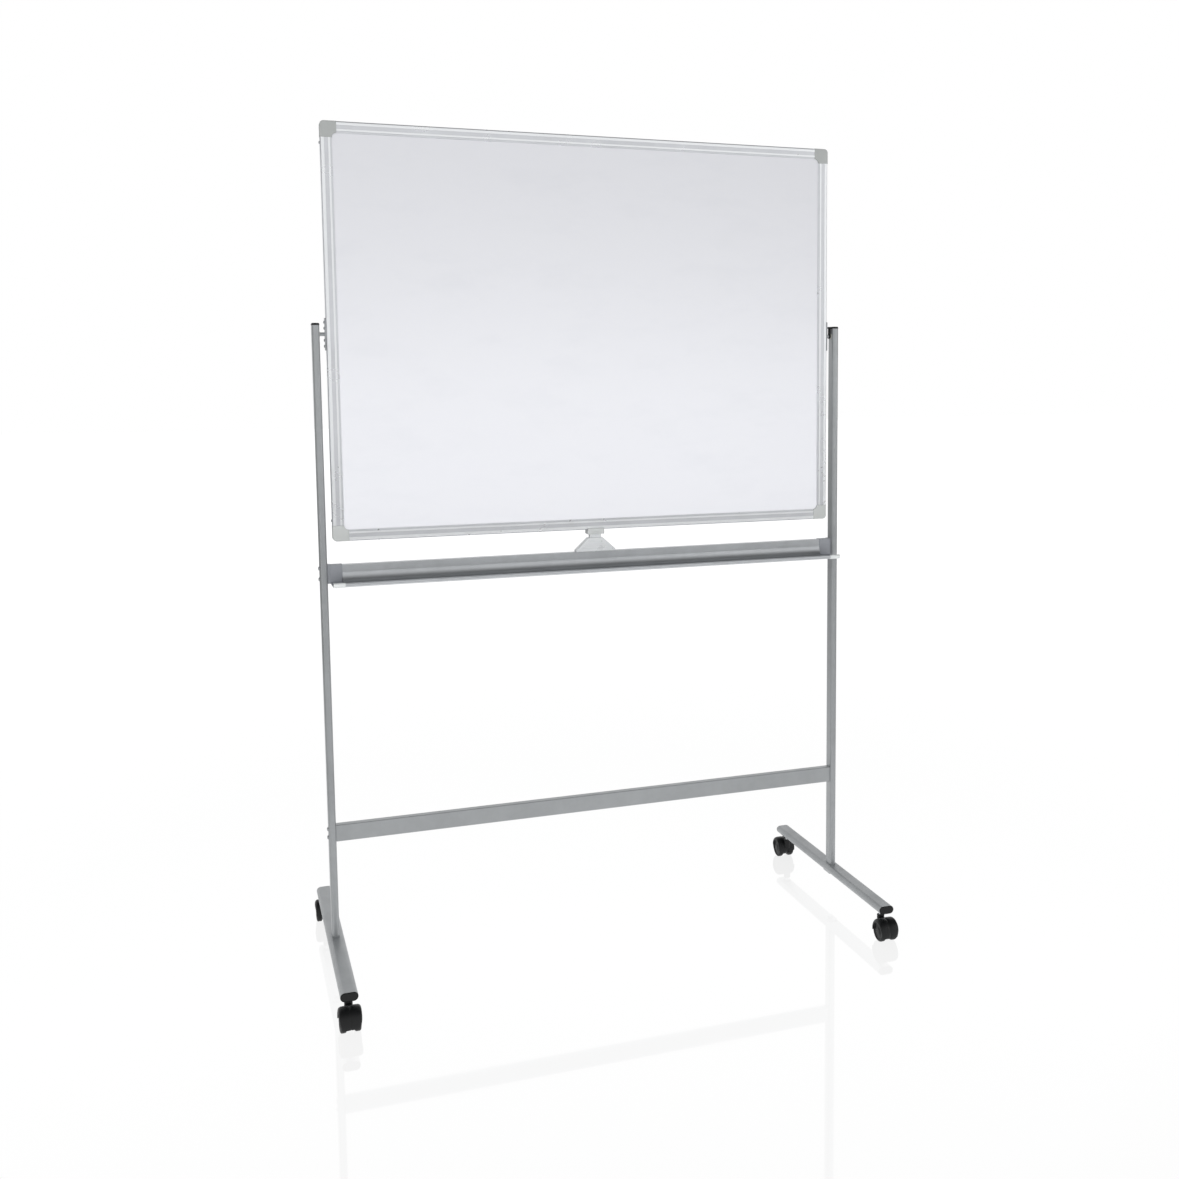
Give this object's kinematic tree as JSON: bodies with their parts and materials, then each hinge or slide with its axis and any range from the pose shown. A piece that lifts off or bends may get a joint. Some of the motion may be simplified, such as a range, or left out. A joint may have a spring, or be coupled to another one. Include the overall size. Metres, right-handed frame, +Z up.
{
  "type": "rolling whiteboard",
  "caption": "Double-sided dry-wipe board that turns over between two posts of a wheeled stand with a pen tray, a lower crossbar and a spring catch.",
  "frame": {"origin": "on the floor, midway between the posts and midway between the front and rear wheels", "axes": "+Z up, +X along the board to its right as seen from the front, -Y out of the front, where the pen tray is"},
  "size_m": [1.291, 0.657, 1.892],
  "materials": {
    "silver_paint": "silver-grey powder coat on steel tube",
    "silver_aluminium": "silver anodised extrusion",
    "frame_aluminium": "satin anodised extrusion",
    "tray_cap_plastic": "silver-grey moulded plastic",
    "lip_plastic": "light grey moulded plastic",
    "black_plastic": "black moulded plastic",
    "nylon": "natural nylon",
    "plain_steel": "zinc-plated steel",
    "plug_plastic": "grey moulded plastic",
    "catch_plastic": "light grey half-clear plastic",
    "catch_grey": "mid grey moulded plastic",
    "core_board": "light fibreboard core",
    "writing_enamel": "smooth gloss white dry-wipe coating on sheet steel",
    "corner_plastic": "mid grey moulded plastic",
    "caster_chrome": "polished plating",
    "caster_plastic": "black nylon, slightly glossy",
    "wheel_plastic": "black nylon tread"
  },
  "bodies": {
    "stand": {"left_post": "silver_paint", "right_post": "silver_paint", "post_caps": "black_plastic", "post_inserts": "plain_steel", "left_foot": "silver_paint", "right_foot": "silver_paint", "foot_end_caps": "black_plastic", "foot_plates": "plain_steel", "foot_bolts": "plain_steel", "caster_sockets": "black_plastic", "pen_tray": "silver_aluminium", "left_tray_cap": "tray_cap_plastic", "right_tray_cap": "tray_cap_plastic", "lip_end_caps": "lip_plastic", "tray_brackets": "silver_aluminium", "lower_crossbar": "silver_paint", "crossbar_plugs": "plug_plastic", "frame_screws": "plain_steel", "pivot_bushes": "nylon", "latch_housing": "catch_plastic", "latch_spring": "plain_steel"},
    "board": {"board_core": "core_board", "front_sheet": "writing_enamel", "back_sheet": "writing_enamel", "top_rail": "frame_aluminium", "bottom_rail": "frame_aluminium", "left_rail": "frame_aluminium", "right_rail": "frame_aluminium", "top_left_corner": "corner_plastic", "top_right_corner": "corner_plastic", "bottom_left_corner": "corner_plastic", "bottom_right_corner": "corner_plastic", "corner_screws": "plain_steel", "left_pivot_plate": "plain_steel", "right_pivot_plate": "plain_steel", "pivot_screws": "plain_steel"},
    "latch": {"latch_plunger": "catch_plastic", "latch_fork": "catch_grey"},
    "lock_lever": {"lock_lever": "black_plastic"},
    "front_left_caster": {"front_left_stem": "caster_chrome", "front_left_hood": "caster_plastic", "front_left_axle": "caster_chrome"},
    "front_left_outer_wheel": {"front_left_outer_wheel": "wheel_plastic"},
    "front_left_inner_wheel": {"front_left_inner_wheel": "wheel_plastic"},
    "front_right_caster": {"front_right_stem": "caster_chrome", "front_right_hood": "caster_plastic", "front_right_axle": "caster_chrome"},
    "front_right_outer_wheel": {"front_right_outer_wheel": "wheel_plastic"},
    "front_right_inner_wheel": {"front_right_inner_wheel": "wheel_plastic"},
    "rear_left_caster": {"rear_left_stem": "caster_chrome", "rear_left_hood": "caster_plastic", "rear_left_axle": "caster_chrome"},
    "rear_left_outer_wheel": {"rear_left_outer_wheel": "wheel_plastic"},
    "rear_left_inner_wheel": {"rear_left_inner_wheel": "wheel_plastic"},
    "rear_right_caster": {"rear_right_stem": "caster_chrome", "rear_right_hood": "caster_plastic", "rear_right_axle": "caster_chrome"},
    "rear_right_outer_wheel": {"rear_right_outer_wheel": "wheel_plastic"},
    "rear_right_inner_wheel": {"rear_right_inner_wheel": "wheel_plastic"}
  },
  "joints": [
    {"name": "board_turn", "type": "hinge", "parent": "stand", "child": "board", "pos_m": [0, 0, 1.438], "axis": [1, 0, 0], "continuous": true},
    {"name": "latch_press", "type": "slide", "parent": "stand", "child": "latch", "axis": [0, 0, 1], "range_m": [-0.007, 0], "stiffness_N_per_m": 1000, "springref_m": 0.002, "deforming": ["latch_spring"]},
    {"name": "lever_swing", "type": "hinge", "parent": "stand", "child": "lock_lever", "pos_m": [0.61, 0, 1.438], "axis": [1, 0, 0], "range_deg": [0, 60]},
    {"name": "front_left_swivel", "type": "hinge", "parent": "stand", "child": "front_left_caster", "pos_m": [-0.622, -0.275, 0.06], "axis": [0, 0, 1], "continuous": true},
    {"name": "front_left_outer_roll", "type": "hinge", "parent": "front_left_caster", "child": "front_left_outer_wheel", "pos_m": [-0.6366, -0.3, 0.025], "axis": [1, 0, 0], "continuous": true},
    {"name": "front_left_inner_roll", "type": "hinge", "parent": "front_left_caster", "child": "front_left_inner_wheel", "pos_m": [-0.6074, -0.3, 0.025], "axis": [1, 0, 0], "continuous": true},
    {"name": "front_right_swivel", "type": "hinge", "parent": "stand", "child": "front_right_caster", "pos_m": [0.622, -0.275, 0.06], "axis": [0, 0, 1], "continuous": true},
    {"name": "front_right_outer_roll", "type": "hinge", "parent": "front_right_caster", "child": "front_right_outer_wheel", "pos_m": [0.6366, -0.3, 0.025], "axis": [1, 0, 0], "continuous": true},
    {"name": "front_right_inner_roll", "type": "hinge", "parent": "front_right_caster", "child": "front_right_inner_wheel", "pos_m": [0.6074, -0.3, 0.025], "axis": [1, 0, 0], "continuous": true},
    {"name": "rear_left_swivel", "type": "hinge", "parent": "stand", "child": "rear_left_caster", "pos_m": [-0.622, 0.275, 0.06], "axis": [0, 0, 1], "continuous": true},
    {"name": "rear_left_outer_roll", "type": "hinge", "parent": "rear_left_caster", "child": "rear_left_outer_wheel", "pos_m": [-0.6366, 0.3, 0.025], "axis": [1, 0, 0], "continuous": true},
    {"name": "rear_left_inner_roll", "type": "hinge", "parent": "rear_left_caster", "child": "rear_left_inner_wheel", "pos_m": [-0.6074, 0.3, 0.025], "axis": [1, 0, 0], "continuous": true},
    {"name": "rear_right_swivel", "type": "hinge", "parent": "stand", "child": "rear_right_caster", "pos_m": [0.622, 0.275, 0.06], "axis": [0, 0, 1], "continuous": true},
    {"name": "rear_right_outer_roll", "type": "hinge", "parent": "rear_right_caster", "child": "rear_right_outer_wheel", "pos_m": [0.6366, 0.3, 0.025], "axis": [1, 0, 0], "continuous": true},
    {"name": "rear_right_inner_roll", "type": "hinge", "parent": "rear_right_caster", "child": "rear_right_inner_wheel", "pos_m": [0.6074, 0.3, 0.025], "axis": [1, 0, 0], "continuous": true}
  ]
}
